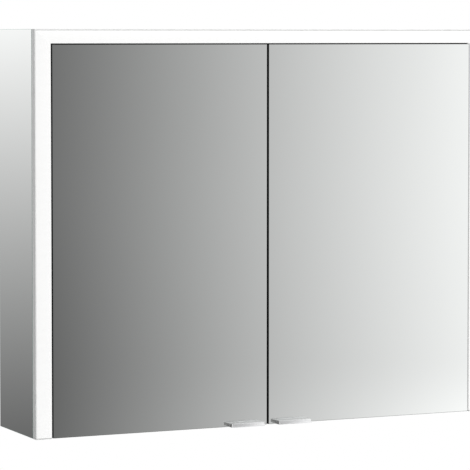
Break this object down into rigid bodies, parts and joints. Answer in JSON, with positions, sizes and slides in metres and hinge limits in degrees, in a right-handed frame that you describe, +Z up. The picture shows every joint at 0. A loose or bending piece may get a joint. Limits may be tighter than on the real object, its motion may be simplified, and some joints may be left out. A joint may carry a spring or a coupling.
{
  "type": "mirror cabinet",
  "caption": "Wall-hung bathroom mirror cabinet: inset mirror doors, mirrored sides, lit opal band along the sides and top, glass shelves inside.",
  "frame": {"origin": "on the wall plane, at the middle of the wall rail's rear face, where the cabinet hangs", "axes": "+Z up, -Y from the wall towards the room (the mirror doors face -Y), +X to the right seen from the front"},
  "size_m": [0.8, 0.1815, 0.64],
  "materials": {
    "mirror_glass": "silvered float glass, polished edges",
    "case_panel": "white melamine-faced board with a fine satin texture",
    "frame_aluminium": "satin anodised extrusion, drawn along its length",
    "handle_aluminium": "satin anodised, fine lengthways grain",
    "opal_diffuser": "opal acrylic, satin, lit from behind",
    "led_board": "white solder-masked circuit board",
    "door_core": "grey core board with sealed edges",
    "bumper_rubber": "soft clear bumper",
    "hinge_nickel": "nickel-plated steel",
    "pin_steel": "bright steel pin",
    "shelf_pin_nickel": "nickel-plated, turned",
    "shelf_glass": "clear float glass, ground green edges",
    "housing_plastic": "white moulded plastic, light grain",
    "driver_plastic": "grey moulded plastic",
    "terminal_plastic": "off-white moulded plastic",
    "gland_plastic": "grey nylon",
    "switch_black": "black moulded plastic",
    "switch_white": "white moulded plastic, soft gloss",
    "hanging_steel": "zinc-plated sheet steel"
  },
  "bodies": {
    "case": {"side_mirror_left": "mirror_glass", "side_mirror_right": "mirror_glass", "rear_mirror": "mirror_glass", "side_panel_left": "case_panel", "side_panel_right": "case_panel", "top_panel": "case_panel", "bottom_panel": "case_panel", "rear_panel": "case_panel", "frame_left": "frame_aluminium", "frame_right": "frame_aluminium", "frame_top": "frame_aluminium", "end_cap_left": "frame_aluminium", "end_cap_right": "frame_aluminium", "diffuser_left": "opal_diffuser", "diffuser_right": "opal_diffuser", "diffuser_top": "opal_diffuser", "led_strip_left": "led_board", "led_strip_right": "led_board", "led_strip_top": "led_board", "bumper_left": "bumper_rubber", "bumper_right": "bumper_rubber", "hinge_arm_left_lower": "hinge_nickel", "shelf_pin_lower_front_left": "shelf_pin_nickel", "shelf_pin_lower_rear_left": "shelf_pin_nickel", "hinge_arm_left_upper": "hinge_nickel", "shelf_pin_upper_front_left": "shelf_pin_nickel", "shelf_pin_upper_rear_left": "shelf_pin_nickel", "hinge_arm_right_lower": "hinge_nickel", "shelf_pin_lower_front_right": "shelf_pin_nickel", "shelf_pin_lower_rear_right": "shelf_pin_nickel", "hinge_arm_right_upper": "hinge_nickel", "shelf_pin_upper_front_right": "shelf_pin_nickel", "shelf_pin_upper_rear_right": "shelf_pin_nickel", "shelf_lower": "shelf_glass", "shelf_upper": "shelf_glass", "driver_housing": "housing_plastic", "led_driver": "driver_plastic", "terminal_block": "terminal_plastic", "cable_gland": "gland_plastic", "switch_body": "switch_black", "wall_rail": "hanging_steel", "hanger_left": "hanging_steel", "hanger_right": "hanging_steel"},
    "left_door": {"door_mirror_front_left": "mirror_glass", "door_core_left": "door_core", "door_mirror_back_left": "mirror_glass", "handle_left": "handle_aluminium", "hinge_cup_left_lower": "hinge_nickel", "hinge_cup_left_upper": "hinge_nickel", "hinge_pin_left_lower": "pin_steel", "hinge_pin_left_upper": "pin_steel"},
    "right_door": {"door_mirror_front_right": "mirror_glass", "door_core_right": "door_core", "door_mirror_back_right": "mirror_glass", "handle_right": "handle_aluminium", "hinge_cup_right_lower": "hinge_nickel", "hinge_cup_right_upper": "hinge_nickel", "hinge_pin_right_lower": "pin_steel", "hinge_pin_right_upper": "pin_steel"},
    "light_switch": {"switch_rocker": "switch_white"}
  },
  "joints": [
    {"name": "left_door_hinge", "type": "hinge", "parent": "case", "child": "left_door", "pos_m": [-0.351, -0.158, -0.24], "axis": [0, 0, -1], "range_deg": [0, 105]},
    {"name": "right_door_hinge", "type": "hinge", "parent": "case", "child": "right_door", "pos_m": [0.351, -0.158, -0.24], "axis": [0, 0, 1], "range_deg": [0, 105]},
    {"name": "light_switch_rock", "type": "hinge", "parent": "case", "child": "light_switch", "pos_m": [0.078, -0.0861, 0.0487], "axis": [0, 0, -1], "range_deg": [0, 20]}
  ]
}
